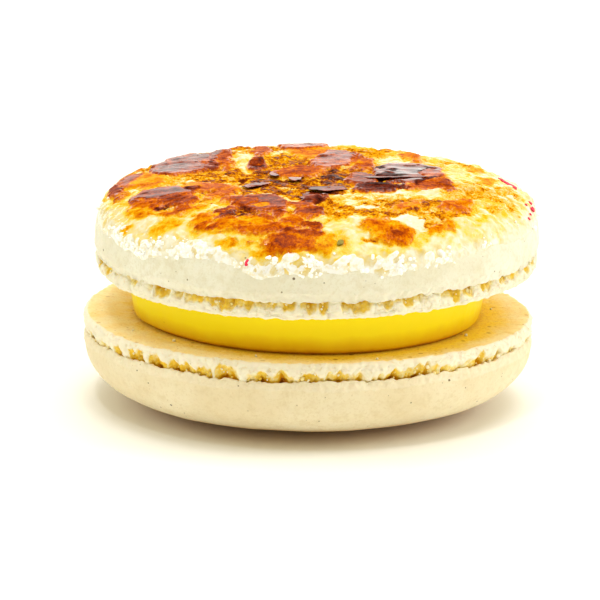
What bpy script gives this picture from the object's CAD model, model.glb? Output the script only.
import bmesh
import bpy
import numpy as np
from mathutils import Matrix, Vector


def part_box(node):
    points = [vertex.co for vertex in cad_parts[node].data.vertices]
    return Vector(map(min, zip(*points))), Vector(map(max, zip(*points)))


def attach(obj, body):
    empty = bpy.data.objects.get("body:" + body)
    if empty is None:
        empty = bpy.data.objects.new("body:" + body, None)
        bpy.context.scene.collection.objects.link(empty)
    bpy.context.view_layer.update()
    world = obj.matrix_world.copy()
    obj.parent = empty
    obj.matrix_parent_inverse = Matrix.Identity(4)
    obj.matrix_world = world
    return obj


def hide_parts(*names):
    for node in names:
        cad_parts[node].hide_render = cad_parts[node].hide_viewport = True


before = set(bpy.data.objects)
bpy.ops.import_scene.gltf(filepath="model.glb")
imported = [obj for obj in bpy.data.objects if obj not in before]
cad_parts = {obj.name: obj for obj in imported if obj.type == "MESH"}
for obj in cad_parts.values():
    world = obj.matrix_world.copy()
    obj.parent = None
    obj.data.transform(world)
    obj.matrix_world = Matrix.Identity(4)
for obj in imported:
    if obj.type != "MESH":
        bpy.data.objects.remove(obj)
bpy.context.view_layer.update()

# View. The macaron is seen from the front and a little above, through a long lens that is not quite
# level. Lengths in this script are millimetres, and turn into metres where a thing is made.
MM = 0.001
LENS = 159.84
CAMERA_DISTANCE = 276.0
CAMERA_ELEVATION = np.radians(13.9)
CAMERA_ROLL = np.radians(1.24)
AIM_HEIGHT = 11.5
AIM_OFFSET = (-0.634, -1.15)  # of the picture's centre from the aim, to the right and up

camera = bpy.data.objects.new("camera", bpy.data.cameras.new("camera"))
camera.data.lens = LENS
camera.data.clip_start = 10 * MM
camera.data.clip_end = 10.0
across = np.array([1.0, 0.0, 0.0])
forward = np.array([0.0, np.cos(CAMERA_ELEVATION), -np.sin(CAMERA_ELEVATION)])
upward = np.array([0.0, np.sin(CAMERA_ELEVATION), np.cos(CAMERA_ELEVATION)])
right = across * np.cos(CAMERA_ROLL) + upward * np.sin(CAMERA_ROLL)
up = upward * np.cos(CAMERA_ROLL) - across * np.sin(CAMERA_ROLL)
aim = np.array([0.0, 0.0, AIM_HEIGHT])
stand = aim - forward * CAMERA_DISTANCE
back = stand - (aim + right * AIM_OFFSET[0] + up * AIM_OFFSET[1])
back /= np.linalg.norm(back)
right -= back * (right @ back)
right /= np.linalg.norm(right)
turn = np.stack([right, np.cross(back, right), back], axis=1)
camera.matrix_world = Matrix.Translation(stand * MM) @ Matrix(turn.tolist()).to_4x4()
bpy.context.collection.objects.link(camera)
bpy.context.scene.camera = camera
bpy.context.scene.view_settings.view_transform = "Standard"


# Studio. A white sheet under a large softbox overhead, with smaller ones behind and at both sides and
# a small bare lamp in front that sparkles on the sugar, in a white room that fills the shadows.
class Wire:
    """A socket of a material's node. Arithmetic on it adds Math nodes, node() adds any other node."""

    def __init__(self, socket):
        self.socket = socket

    def node(self, kind, settings=None, inputs=None, output=0):
        """A new node of this material: settings are set first, then sockets get values or wires."""
        tree = self.socket.id_data
        made = tree.nodes.new("ShaderNode" + kind)
        for name, value in (settings or {}).items():
            if name == "stops":
                ends = made.color_ramp.elements
                ends[0].position, ends[-1].position = value[0][0], value[-1][0]
                for position, _ in value[1:-1]:
                    ends.new(position)
                for element, (_, colour) in zip(ends, value):
                    element.color = colour
            else:
                setattr(made, name, value)
        for name, value in (inputs or {}).items():
            if isinstance(value, Wire):
                tree.links.new(value.socket, made.inputs[name])
            else:
                made.inputs[name].default_value = value
        return Wire(made.outputs[output]) if made.outputs else None

    def math(self, operation, first, second):
        return self.node("Math", {"operation": operation}, {0: first, 1: second})

    def __add__(self, other):
        return self.math("ADD", self, other)

    def __radd__(self, other):
        return self.math("ADD", other, self)

    def __sub__(self, other):
        return self.math("SUBTRACT", self, other)

    def __rsub__(self, other):
        return self.math("SUBTRACT", other, self)

    def __mul__(self, other):
        return self.math("MULTIPLY", self, other)

    def __rmul__(self, other):
        return self.math("MULTIPLY", other, self)

    def mark(self, name):
        """A number that the points of a piece carry."""
        return self.node("Attribute", {"attribute_name": name}, output="Fac")

    def step(self, low, high):
        """0 below low and 1 above high, eased between them."""
        limits = {"Value": self, "From Min": low, "From Max": high}
        return self.node("MapRange", {"interpolation_type": "SMOOTHSTEP"}, limits)

    def noise(self, size, detail=2.0, roughness=0.5, distortion=0.0):
        """Cloudy noise from 0 to 1 at this place, with clouds of the given size."""
        return self.node("TexNoise", None, {
            "Vector": self, "Scale": 1 / size, "Detail": detail,
            "Roughness": roughness, "Distortion": distortion,
        })

    def specks(self, spacing, radius, share):
        """1 inside small dots, one to a cell of the given spacing, in a share of the cells."""
        inputs = {"Vector": self, "Scale": 1 / spacing}
        distance = self.node("TexVoronoi", None, inputs)
        lot = self.node("TexVoronoi", None, inputs, output="Color")
        lot = lot.node("SeparateColor", None, {"Color": lot})
        reach = radius / spacing
        return (1 - distance.step(0.6 * reach, reach)) * (1 - lot.step(share, share + 0.01))

    def mix(self, first, second):
        """A colour between two, by this wire's value."""
        return self.node("Mix", {"data_type": "RGBA"}, {0: self, 6: first, 7: second}, output=2)

    def ramp(self, *stops):
        """A colour that follows this wire's value through stops of (value, colour)."""
        return self.node("ValToRGB", {"stops": stops}, {"Fac": self})


def display(red, green, blue):
    """A colour as a screen shows it, from 0 to 255, as the linear colour that a shader takes."""
    share = np.array([red, green, blue]) / 255
    linear = np.where(share <= 0.04045, share / 12.92, ((share + 0.055) / 1.055) ** 2.4)
    return (*linear.tolist(), 1.0)


def new_finish(name):
    """A new material, with wires of the Object coordinates in millimetres."""
    material = bpy.data.materials.new(name)
    material.use_nodes = True
    material.node_tree.nodes.clear()
    place = Wire(material.node_tree.nodes.new("ShaderNodeTexCoord").outputs["Object"])
    scale = {0: place, "Scale": 1 / MM}
    return material, place.node("VectorMath", {"operation": "SCALE"}, scale)


def finish_surface(place, relief=None, **sockets):
    """End a material with a Principled shader; relief is the height of its bumps in millimetres."""
    inputs = {name.replace("_", " "): value for name, value in sockets.items()}
    if relief is not None:
        inputs["Normal"] = place.node("Bump", None, {"Height": relief, "Distance": MM})
    shader = place.node("BsdfPrincipled", None, inputs)
    place.node("OutputMaterial", None, {"Surface": shader})


FLOOR_RADIUS = 3000.0
FLOOR_CORNERS = 96
FLOOR_GAP = 0.02  # below the spot that the macaron rests on
corner = np.arange(FLOOR_CORNERS) * (2 * np.pi / FLOOR_CORNERS)
rim = np.stack([np.cos(corner), np.sin(corner), 0 * corner], axis=-1) * FLOOR_RADIUS
floor_mesh = bpy.data.meshes.new("floor")
floor_mesh.from_pydata(((rim - [0, 0, FLOOR_GAP]) * MM).tolist(), [], [list(range(FLOOR_CORNERS))])
floor_paper, paper_place = new_finish("floor_paper")
finish_surface(
    paper_place, Base_Color=(0.965, 0.96, 0.925, 1), Roughness=0.9, Specular_IOR_Level=0.0,
)
floor_mesh.materials.append(floor_paper)
floor = bpy.data.objects.new("floor", floor_mesh)
bpy.context.collection.objects.link(floor)


def softbox(name, place, width, height, power, colour=(1, 1, 1)):
    """A rectangular light that faces the macaron, with its place in millimetres."""
    light = bpy.data.lights.new(name, "AREA")
    light.shape = "RECTANGLE"
    light.size = width * MM
    light.size_y = height * MM
    light.energy = power
    light.color = colour
    lamp = bpy.data.objects.new(name, light)
    spot = Vector(place)
    facing = (Vector((0, 0, AIM_HEIGHT)) - spot).to_track_quat("-Z", "Y")
    lamp.matrix_world = Matrix.Translation(spot * MM) @ facing.to_matrix().to_4x4()
    bpy.context.collection.objects.link(lamp)


softbox("overhead_softbox", (60, 60, 1150), 1000, 760, 9.5)
softbox("back_softbox", (0, 950, 290), 1500, 460, 3.6)
softbox("right_softbox", (950, 40, 420), 450, 700, 4.2, (0.94, 0.98, 1))
softbox("left_softbox", (-950, 40, 380), 400, 600, 1.9, (0.85, 0.97, 1))
softbox("bare_lamp", (-150, -420, 900), 70, 70, 1.2)
room = bpy.data.worlds.new("bright_room")
room.use_nodes = True
room.node_tree.nodes["Background"].inputs["Color"].default_value = (1.0, 0.91, 0.66, 1)
room.node_tree.nodes["Background"].inputs["Strength"].default_value = 0.5
bpy.context.scene.world = room


# Bottom shell, skin. The smooth dry top of a baked almond meringue, lying on its dome: a thin cap
# that tore loose from the foot all round, with a jagged edge that curls in a little.
def spread(cells, seed):
    """A repeatable number from 0 to 1 for each whole-number cell: large multiples of its three
    numbers added up, then mixed twice by folding the high bits into the low ones."""
    multiples = np.array([73856093, 19349663, 83492791], np.int64)
    mixed = ((cells.astype(np.int64) * multiples).sum(-1) + seed * 374761393).astype(np.uint64)
    for shift in (15, 13):
        mixed = (mixed ^ (mixed >> np.uint64(shift))) * np.uint64(2246822519)
        mixed = mixed & np.uint64(0xFFFFFFFF)
    return mixed / 2.0**32


GRAIN_TURN = np.array(Matrix.Rotation(1.0, 3, Vector((1, 2, 3)).normalized()))


def grain(points, size, seed):
    """Smooth noise from -1 to 1 with lumps of the given size: random numbers on the corners of a
    turned cubic lattice, eased from corner to corner."""
    place = points @ GRAIN_TURN / size
    cell = np.floor(place)
    share = place - cell
    share = share * share * (3 - 2 * share)
    total = 0
    for corner in np.ndindex(2, 2, 2):
        weight = np.where(corner, share, 1 - share).prod(-1)
        total = total + weight * spread(cell + corner, seed)
    return 2 * total - 1


def lumps(points, size, seed):
    """Round lumps about size apart, one to a cell of a turned lattice: the distances to the nearest
    and the second nearest lump's centre, in cells, and the nearest one's random number."""
    place = points @ GRAIN_TURN / size
    cell = np.floor(place)
    nearest = np.full(place.shape[:-1], 9.0)
    second = nearest.copy()
    lot = np.zeros_like(nearest)
    for step in np.ndindex(3, 3, 3):
        neighbour = cell + step - 1
        centre = neighbour + np.stack([spread(neighbour, seed + axis) for axis in range(3)], -1)
        distance = np.linalg.norm(place - centre, axis=-1)
        lot = np.where(distance < nearest, spread(neighbour, seed + 3), lot)
        second = np.where(distance < nearest, nearest, np.minimum(second, distance))
        nearest = np.minimum(nearest, distance)
    return nearest, second, lot


def ease(low, high, value):
    """0 below low and 1 above high, eased between them; low may be the higher one."""
    share = np.clip((value - low) / (high - low), 0, 1)
    return share * share * (3 - 2 * share)


class Shell:
    """Sizes of one baked shell in its own frame, its flat side down at height 0 and its dome up."""

    def __init__(self, rim_radius, rim_height, height, flat_radius, fullness, foot_radius,
                 foot_top, lip_height, waves, cavities, seed, settle):
        self.rim_radius = rim_radius
        self.foot_radius = foot_radius
        self.foot_top = foot_top
        self.lip_height = lip_height
        self.waves = waves
        self.cavities = cavities
        self.seed = seed
        self.settle = settle
        # The dome in section, from the lip up: a short wall to the widest part, then a curve whose
        # radius falls as cos(t) ** (2 / fullness) while its height rises as sin(t) ** (2 / fullness),
        # then the flat centre.
        t = np.linspace(0, np.pi / 2, 900)
        reach = rim_radius - flat_radius
        rise = height - rim_height
        radius = flat_radius + reach * np.abs(np.cos(t)) ** (2 / fullness)
        level = rim_height + rise * np.abs(np.sin(t)) ** (2 / fullness)
        self.radii = np.concatenate([[rim_radius - 0.08], radius, [0]])
        self.levels = np.concatenate([[lip_height], level, [height]])
        steps = np.hypot(np.diff(self.radii), np.diff(self.levels))
        self.arcs = np.concatenate([[0], np.cumsum(steps)])
        self.arc = self.arcs[-1]

    def section(self, arc):
        """Radius and height at an arc length up from the lip, and the outward normal's radius and
        height."""
        radius, level = [np.interp(arc, self.arcs, values) for values in (self.radii, self.levels)]
        ahead, behind = np.minimum(arc + 0.2, self.arc), np.maximum(arc - 0.2, 0)
        along = np.interp(ahead, self.arcs, self.radii) - np.interp(behind, self.arcs, self.radii)
        climb = np.interp(ahead, self.arcs, self.levels) - np.interp(behind, self.arcs, self.levels)
        length = np.hypot(along, climb)
        return radius, level, climb / length, -along / length

    def out_of_round(self, angle):
        """1 plus shallow waves round the rim, each of (lobes, size, turn in degrees)."""
        return 1 + sum(size * np.cos(lobes * (angle - np.radians(turn)))
                       for lobes, size, turn in self.waves)


def around(count):
    """The angles of a ring of points."""
    return np.arange(count) * (2 * np.pi / count)


def turned(radius, level, angle):
    """Points at radii and heights, turned about the axis to their angles."""
    radius, level, angle = np.broadcast_arrays(radius, level, angle)
    return np.stack([radius * np.cos(angle), radius * np.sin(angle), level], axis=-1)


def turn_from(start, degrees):
    """How far a direction is round from another, from -180 to 180 degrees."""
    return (degrees - start + 180) % 360 - 180


def tiers(shell, arcs, fine):
    """Split rings at these arc lengths into runs of equal counts, halved as the rings get smaller:
    fine points where the radius is over half of the rim's, half as many to a quarter of it, and so
    on, as a list of (count, arcs)."""
    radius = shell.section(arcs)[0]
    halvings = np.clip(np.floor(np.log2(shell.rim_radius / np.maximum(radius, 0.1))), 0, 5)
    return [(int(fine / 2**k), arcs[halvings == k]) for k in np.unique(halvings)]


def ring_stack(blocks):
    """Points and triangles of a closed surface over blocks of rings, from a bottom centre out and up
    to a top centre. A block is an array of rings by points by numbers, and the next block's rings
    have as many points, twice as many or half as many. The centres are the end rings' means."""
    ends = [blocks[0][0].mean(0), blocks[-1][-1].mean(0)]
    points = np.concatenate([ends[:1], *[b.reshape(-1, b.shape[-1]) for b in blocks], ends[1:]])
    triangles = []
    start = 1

    def add(first, second, third):
        corners = np.broadcast_arrays(first, second, third)
        triangles.append(np.stack(corners, axis=-1).reshape(-1, 3))

    for number, block in enumerate(blocks):
        rings, count = block.shape[:2]
        i = np.arange(count)
        j = (i + 1) % count
        if number == 0:
            add(0, start + j, start + i)
        lower = start + count * np.arange(rings - 1)[:, None]
        upper = lower + count
        add(lower + i, lower + j, upper + j)
        add(lower + i, upper + j, upper + i)
        last = start + count * (rings - 1)
        start = last + count
        if number + 1 == len(blocks):
            add(start, last + i, last + j)
        elif blocks[number + 1].shape[1] == count:
            add(last + i, last + j, start + j)
            add(last + i, start + j, start + i)
        elif blocks[number + 1].shape[1] < count:
            k = np.arange(count // 2)
            after = start + (k + 1) % (count // 2)
            beyond = last + (2 * k + 2) % count
            add(last + 2 * k, last + 2 * k + 1, start + k)
            add(last + 2 * k + 1, after, start + k)
            add(last + 2 * k + 1, beyond, after)
        else:
            beyond = start + (2 * i + 2) % (2 * count)
            add(last + i, start + 2 * i + 1, start + 2 * i)
            add(last + i, last + j, start + 2 * i + 1)
            add(last + j, beyond, start + 2 * i + 1)
    return points, np.concatenate(triangles)


def make_piece(name, points, triangles, finish, slot, node, smooth=True, **marks):
    """A piece of the macaron from points in millimetres, with marks, numbers on its points that its
    finish reads. It rides on the body, in place of the CAD node that it dresses."""
    mesh = bpy.data.meshes.new(name)
    mesh.vertices.add(len(points))
    mesh.vertices.foreach_set("co", (points * MM).astype(np.float32).ravel())
    mesh.loops.add(triangles.size)
    mesh.loops.foreach_set("vertex_index", triangles.astype(np.int32).ravel())
    mesh.polygons.add(len(triangles))
    mesh.polygons.foreach_set("loop_start", np.arange(0, triangles.size, 3, dtype=np.int32))
    mesh.polygons.foreach_set("use_smooth", np.full(len(triangles), smooth))
    for mark, values in marks.items():
        attribute = mesh.attributes.new(mark, "FLOAT", "POINT")
        attribute.data.foreach_set("value", values.astype(np.float32))
    mesh.update(calc_edges=True)
    mesh.validate()
    mesh.materials.append(finish)
    piece = bpy.data.objects.new(name, mesh)
    bpy.context.collection.objects.link(piece)
    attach(piece, "root")
    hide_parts(node)


RING = 1152  # points on a ring through a foot or a lip, 0.12 mm apart
FOLD_ARC = 0.95  # from the lip up to the faint fold over it


def skin_cap(shell):
    """The skin: its radius and height follow the shell's section up from the lip, and the lip's
    height wanders with noise of four sizes. Below the lip the surface curls in and closes inside.
    Up to a faint fold a millimetre from the lip it is torn and crumbly, and each point carries how
    much."""
    angle = around(RING)
    rim = shell.out_of_round(angle) * shell.rim_radius
    edge = turned(rim, 0, angle)
    ragged = (0.14 * grain(edge, 2.4, shell.seed) + 0.17 * grain(edge, 0.9, shell.seed + 1)
              + 0.15 * grain(edge, 0.42, shell.seed + 2) + 0.06 * grain(edge, 0.2, shell.seed + 3))
    inset = np.array([4.5, 3.0, 2.0, 1.35, 0.9, 0.62, 0.44, 0.3, 0.2, 0.13])[:, None]
    above = np.array([1.6, 1.3, 1.0, 0.68, 0.36, 0.17, 0.06, 0.0, 0.0, 0.06])[:, None]
    under = turned(rim - inset, shell.lip_height + ragged * (1 - ease(0.3, 1.6, above)) + above, angle)
    under += 0.08 * grain(under, 0.4, shell.seed + 4)[..., None] * [0, 0, 1]
    blocks = [np.concatenate([under, 0 * under[..., :1] + 1], axis=-1)]
    arcs = np.concatenate([np.arange(0.12, 4.0, 0.13), np.arange(4.3, shell.arc - 0.3, 0.4)])
    for count, run in tiers(shell, arcs, RING):
        angle = around(count)
        run = run[:, None]
        radius, level, out, lift = shell.section(run)
        place = turned(radius * shell.out_of_round(angle), level, angle)
        near_lip = 1 - ease(0.1, 1.5, run)
        from_fold = run - FOLD_ARC - 0.25 * grain(place * [1, 1, 0], 4.0, 9)
        torn = ease(0.12, -0.12, from_fold + 0.1 * grain(place, 0.5, shell.seed + 8))
        nearest, _, lot = lumps(place, 0.62, shell.seed + 9)
        bulge = (0.1 * grain(place, 7.0, shell.seed + 5) + 0.03 * grain(place, 1.6, shell.seed + 6)
                 + torn * (0.16 * (0.55 - nearest) + 0.06 * lot + 0.05 * grain(place, 0.3, shell.seed + 7))
                 - 0.12 * near_lip**2 + 0.05 * np.exp(-((from_fold / 0.14) ** 2)))
        jag = np.interp(angle, around(RING), ragged, period=2 * np.pi)
        place += turned(bulge * out, bulge * lift + near_lip * jag, angle)
        blocks.append(np.concatenate([place, torn[..., None]], axis=-1))
    return ring_stack(blocks)


def baked_skin(name, cream, pale, deep):
    """Dry baked meringue skin: cream with faint clouds and fine specks of almond, whiter where it
    is torn, honey-coloured where it lay on the hot tray, matt, with a surface like fine sand."""
    material, place = new_finish(name)
    torn = place.mark("torn")
    height = place.node("SeparateXYZ", None, {"Vector": place}, output="Z")
    colour = place.noise(6.0, 3.0).step(0.35, 0.65).mix(cream, pale)
    colour = (place.noise(1.1, 4.0, 0.65).step(0.45, 0.72) * 0.55).mix(colour, deep)
    colour = (place.noise(0.28, 2.0, 0.6).step(0.5, 0.72) * 0.45).mix(colour, deep)
    colour = (torn * 0.2).mix(colour, display(252, 244, 222))
    colour = (place.specks(0.9, 0.08, 0.35) * 0.6).mix(colour, display(150, 130, 84))
    colour = (place.specks(1.3, 0.11, 0.35) * 0.75).mix(colour, display(120, 100, 56))
    colour = (place.specks(2.3, 0.17, 0.5) * 0.9).mix(colour, display(92, 70, 34))
    colour = (1 - height.step(0.2, 2.4)).mix(colour, display(226, 168, 84))
    relief = 0.032 * place.noise(0.14, 3.0, 0.6) + 0.06 * place.noise(0.7, 2.0)
    finish_surface(
        place, relief, Base_Color=colour, Roughness=0.75, Specular_IOR_Level=0.25,
        Subsurface_Weight=0.12, Subsurface_Radius=(1.0, 0.6, 0.3), Subsurface_Scale=0.6 * MM,
    )
    return material


def bottom_place(points):
    """The bottom shell is turned over about X, to lie on its dome, pressed flat where it rests."""
    settled = points * [1, -1, -1] + [0, 0, BOTTOM_HEIGHT]
    settled[..., 2] = np.maximum(settled[..., 2], 0)
    return settled


BOTTOM_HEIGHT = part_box("bottom_shell")[1].z / MM
bottom = Shell(
    rim_radius=22.4, rim_height=2.2, height=BOTTOM_HEIGHT, flat_radius=5.6, fullness=2.7,
    foot_radius=22.3, foot_top=1.5, lip_height=1.85, waves=[(2, 0.036, -3), (3, 0.0135, -6)],
    # hollows under the lip where it gapes: degrees round, half width, height, depth
    cavities=[
        (152, 0.5, 0.7, 0.4), (145, 0.6, 0.9, 0.5), (138, 0.85, 1.4, 0.7), (130, 0.95, 1.0, 0.6),
        (123, 1.2, 1.2, 0.7), (118, 1.0, 0.6, 0.6), (110, 1.0, 1.3, 0.7), (101, 1.1, 0.6, 0.8),
        (95, 1.3, 0.75, 0.8), (88, 1.2, 0.9, 0.6), (80.5, 1.0, 1.2, 0.7), (76, 0.7, 0.6, 0.5),
        (68, 1.2, 0.65, 0.8), (63.5, 1.0, 1.0, 0.7), (59, 0.9, 0.85, 0.6), (55.5, 0.65, 1.2, 0.7),
        (50, 0.9, 0.6, 0.7), (39, 0.7, 1.2, 0.7), (31, 0.6, 0.7, 0.4), (24, 0.6, 0.7, 0.4),
    ],
    seed=100, settle=bottom_place,
)
points, triangles = skin_cap(bottom)
make_piece(
    "bottom_skin", bottom.settle(points[:, :3]), triangles,
    baked_skin("bottom_skin", display(238, 222, 184), display(243, 230, 196), display(226, 207, 163)),
    "baked_shell", "bottom_shell", torn=points[:, 3],
)


# Bottom shell, foot. The ruffled band of crumb that rose out from under the skin in the oven, and
# the flat side that baked against the mat. The foot is torn from the skin by a crack with hollows.
def crack_shape(shell, edge, angle):
    """The crack round the foot, at points of its edge and their angles: the height of the foot's top,
    the depth behind it, and how far the crack gapes. The hollows of the front are placed one by one,
    and noise makes those of the back."""
    seed = shell.seed + 20
    wander = np.degrees(angle) + 1.6 * grain(edge, 1.2, seed) + 0.7 * grain(edge, 0.5, seed + 1)
    middle = shell.cavities[len(shell.cavities) // 2][0]
    front = 1 - ease(62, 80, np.abs(turn_from(middle, np.degrees(angle))))
    wild = ease(0.0, 0.5, grain(edge, 3.2, seed + 2) + 0.4 * grain(edge, 1.0, seed + 3))
    open_height = (1 - front) * wild * (0.55 + 0.5 * grain(edge, 4.0, seed + 4))
    open_depth = (1 - front) * wild * 1.7
    for degrees, half_width, height, depth in shell.cavities:
        away = np.abs(turn_from(degrees, wander)) * np.pi / 180 * shell.foot_radius
        gap = np.clip(1 - (away / half_width / 1.4) ** 2, 0, 1) ** 0.9
        gap = gap * (0.85 + 0.6 * grain(edge, 0.7, seed + 22) + 0.35 * grain(edge, 0.3, seed + 23))
        open_height = np.maximum(open_height, gap * height)
        open_depth = np.maximum(open_depth, gap * depth)
    crack = ease(-0.2, 0.4, grain(edge, 1.5, seed + 24) + 0.5 * grain(edge, 0.4, seed + 27))
    open_height = np.maximum(open_height, 0.34 * crack)
    open_depth = np.maximum(open_depth, 0.35 * crack)
    top = (shell.foot_top + 0.2 + 0.14 * grain(edge, 1.7, seed + 5)
           + 0.13 * grain(edge, 0.6, seed + 6) + 0.05 * grain(edge, 0.25, seed + 21) - open_height)
    return np.maximum(top, 0.55), 0.25 + open_depth + 0.1 * grain(edge, 0.9, seed + 7), open_height


def flat_relief(place, seed):
    """Height of the faint unevenness of the flat side."""
    return np.maximum(0.03 + 0.02 * grain(place, 2.0, seed) + 0.015 * grain(place, 0.5, seed + 1), 0)


def foot_section(shell, rim, top, depth):
    """Radii and heights of the foot's rings at every point round it: a flat side, a rounded edge, a
    band up to the foot's top, a recess under the skin, and a core that closes inside the skin."""
    bend = 0.42  # radius of the rounded edge
    flat = np.array([0.9, 0.93, 0.955, 0.972])[:, None] * rim
    corner = np.linspace(0.06, np.pi / 2, 9)[:, None]
    rounded = rim - bend + bend * np.sin(corner)
    rounded_level = bend - bend * np.cos(corner) + 0 * rim
    up_band = np.linspace(0.05, 1, 18)[:, None]
    band = rim + 0.08 * np.sin(np.pi * up_band) - 0.16 * up_band**6
    band_level = bend + (top - bend) * up_band
    inward = np.linspace(0.04, 1, 22)[:, None]
    recess = rim - 0.16 - depth * np.sin(inward * np.pi / 2) ** 1.2
    recess_level = top + (shell.lip_height + 1.05 - top) * inward
    inner = np.array([1.5, 2.4, 3.4, 4.6])[:, None]
    core = rim - depth - inner
    core_level = shell.lip_height + np.array([1.15, 1.2, 1.2, 1.2])[:, None] + 0 * rim
    radius = np.concatenate([flat, rounded, band, recess, core])
    return radius, np.concatenate([0 * flat, rounded_level, band_level, recess_level, core_level])


def foot_body(shell):
    """The foot: its section with lumps of crumb on the band, whose top wanders with noise, and small
    crumbs down in the hollows. Each point also carries how deep it lies in the crack and whether it is
    on the flat side."""
    seed = shell.seed + 20
    angle = around(RING)
    rim = shell.out_of_round(angle) * shell.foot_radius
    edge = turned(rim, 0, angle)
    top, depth, open_height = crack_shape(shell, edge, angle)
    radius, level = foot_section(shell, rim, top, depth)
    place = turned(radius, level, angle)

    # lumps of crumb stand out on the band, taller than wide, with creases between them
    nearest, second, lot = lumps(place * [1, 1, 0.6], 1.5, seed + 8)
    tab = 0.26 * (0.7 - nearest) + 0.1 * (lot - 0.5) - 0.1 * (1 - ease(0.0, 0.2, second - nearest))
    small, _, lot = lumps(place, 0.5, seed + 12)
    crumb = 0.15 * (0.6 - small) + 0.08 * (lot - 0.5) + 0.04 * grain(place, 0.16, seed + 16)
    stands = ease(0.05, 0.6, level) * (1 - ease(shell.lip_height + 0.7, shell.lip_height + 1, level))
    hidden = ease(0, 1, (rim - radius) / 1.0)
    push = stands * (tab * (1 - 0.4 * hidden) + crumb * (1 + 1.2 * hidden))
    place += turned(push, 0, angle)
    # the corner of the flat side is ragged
    ragged = 0.1 * grain(edge, 0.6, seed + 25) + 0.07 * grain(edge, 0.28, seed + 26)
    place[..., 2] += ragged * ease(0.93, 1.0, radius / rim) * (1 - ease(0.3, 0.9, level))
    # the flat side is faintly uneven
    place[..., 2] += (level < 0.02) * flat_relief(place, seed + 17)
    place[..., 0:2] *= (1 + (0.12 * grain(edge, 0.8, seed + 19) + 0.06 * grain(edge, 0.3, seed + 20))
                        / shell.foot_radius * (level < 0.5))[..., None]
    hollow = ease(0.1, 1.15, rim - np.hypot(place[..., 0], place[..., 1])) * (level > 0.5)
    lit_walls = (0.3 + 0.2 * grain(edge, 0.7, seed + 28)) * ease(0.1, 0.5, open_height)
    lit_walls = lit_walls * ease(-0.2, 0.15, level - top + 0.2 * grain(edge, 0.35, seed + 29))
    hollow = np.maximum(hollow, lit_walls)
    flat_side = 1 - ease(0.0, 0.1, level)
    main = np.concatenate([place, hollow[..., None], flat_side[..., None]], axis=-1)

    blocks = []
    for count, shares in ((RING // 8, [0.2, 0.4]), (RING // 4, [0.6, 0.7]),
                          (RING // 2, [0.76, 0.8, 0.83, 0.86, 0.88])):
        angle = around(count)
        ring = turned(np.array(shares)[:, None] * shell.foot_radius * shell.out_of_round(angle), 0, angle)
        ring[..., 2] = flat_relief(ring, seed + 17)
        blocks.append(np.concatenate([ring, 0 * ring[..., :1], 0 * ring[..., :1] + 1], axis=-1))
    blocks.append(main)
    for count, share in ((RING // 2, 0.72), (RING // 4, 0.5), (RING // 8, 0.25)):
        angle = around(count)
        ring = turned(share * shell.foot_radius, shell.lip_height + 1.2, angle)[None]
        blocks.append(np.concatenate([ring, 0 * ring[..., :1] + 1, 0 * ring[..., :1]], axis=-1))
    return ring_stack(blocks)


CREAM_CENTRE = (0.1, -0.6)  # of the filling, in plan
SOAKED_CENTRE = (1.1, -0.6)  # of the golden round that its fat soaked into the crumb


def torn_crumb(name, pale, tan):
    """The foot's crumb, whitish outside and honey to brown down in the crack, with a sandy grain, and
    the flat side, tan from the mat, golden where it drew fat from the cream, with pores."""
    material, place = new_finish(name)
    hollow = place.mark("hollow")
    flat_side = place.mark("flat_side")
    fine = place.noise(0.35, 3.0, 0.6)
    depth = hollow + 0.5 * (fine - 0.5) * hollow.step(0.02, 0.2)
    crumb = depth.ramp(
        (0.0, pale), (0.14, display(248, 228, 160)), (0.3, display(243, 206, 84)),
        (0.5, display(244, 196, 40)), (0.8, display(236, 168, 12)), (1.0, display(206, 124, 0)),
    )
    crumb = (place.specks(0.8, 0.09, 0.3) * 0.55).mix(crumb, display(196, 158, 88))
    crumb = (place.specks(2.6, 0.16, 0.4) * 0.6).mix(crumb, display(150, 112, 52))
    pitted = place.noise(0.45, 3.0, 0.7).step(0.57, 0.68)
    crumb = (pitted * 0.4).mix(crumb, display(238, 206, 132))
    outward = place.node("VectorMath", {"operation": "SUBTRACT"}, {0: place, 1: (*SOAKED_CENTRE, 0)})
    outward = outward.node("VectorMath", {"operation": "MULTIPLY"}, {0: outward, 1: (1, 1, 0)})
    outward = outward.node("VectorMath", {"operation": "LENGTH"}, {0: outward}, output="Value")
    soaked = 1 - (outward + 2.8 * (place.noise(2.2, 3.0, 0.6) - 0.5)).step(18.0, 20.8)
    baked = place.noise(3.0, 4.0, 0.6).step(0.3, 0.7).mix(tan, display(252, 226, 156))
    baked = (soaked * 0.9).mix(baked, display(248, 216, 0))
    baked = (place.noise(0.35, 3.0, 0.65).step(0.45, 0.65) * (0.2 + 0.3 * soaked)).mix(
        baked, display(226, 176, 50))
    baked = (place.specks(1.4, 0.3, 0.35) * (0.3 + 0.4 * soaked)).mix(baked, display(166, 116, 8))
    baked = (place.specks(0.6, 0.12, 0.35) * 0.4).mix(baked, display(176, 126, 20))
    baked = (place.noise(0.55, 4.0, 0.7).step(0.6, 0.68) * soaked * 0.55).mix(baked, display(164, 112, 8))
    edge = flat_side + 0.5 * (place.noise(0.6, 3.0, 0.6) - 0.5)
    colour = edge.step(0.5, 0.95).mix(crumb, baked)
    relief = (0.03 * place.noise(0.16, 3.0, 0.7) + 0.04 * place.noise(0.4, 2.0)
              - 0.04 * (1 - flat_side) * pitted - 0.08 * flat_side * place.specks(1.5, 0.24, 0.35))
    finish_surface(
        place, relief, Base_Color=colour, Roughness=0.85, Specular_IOR_Level=0.2,
        Subsurface_Weight=0.15, Subsurface_Radius=(1.0, 0.6, 0.25), Subsurface_Scale=0.6 * MM,
    )
    return material


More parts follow.
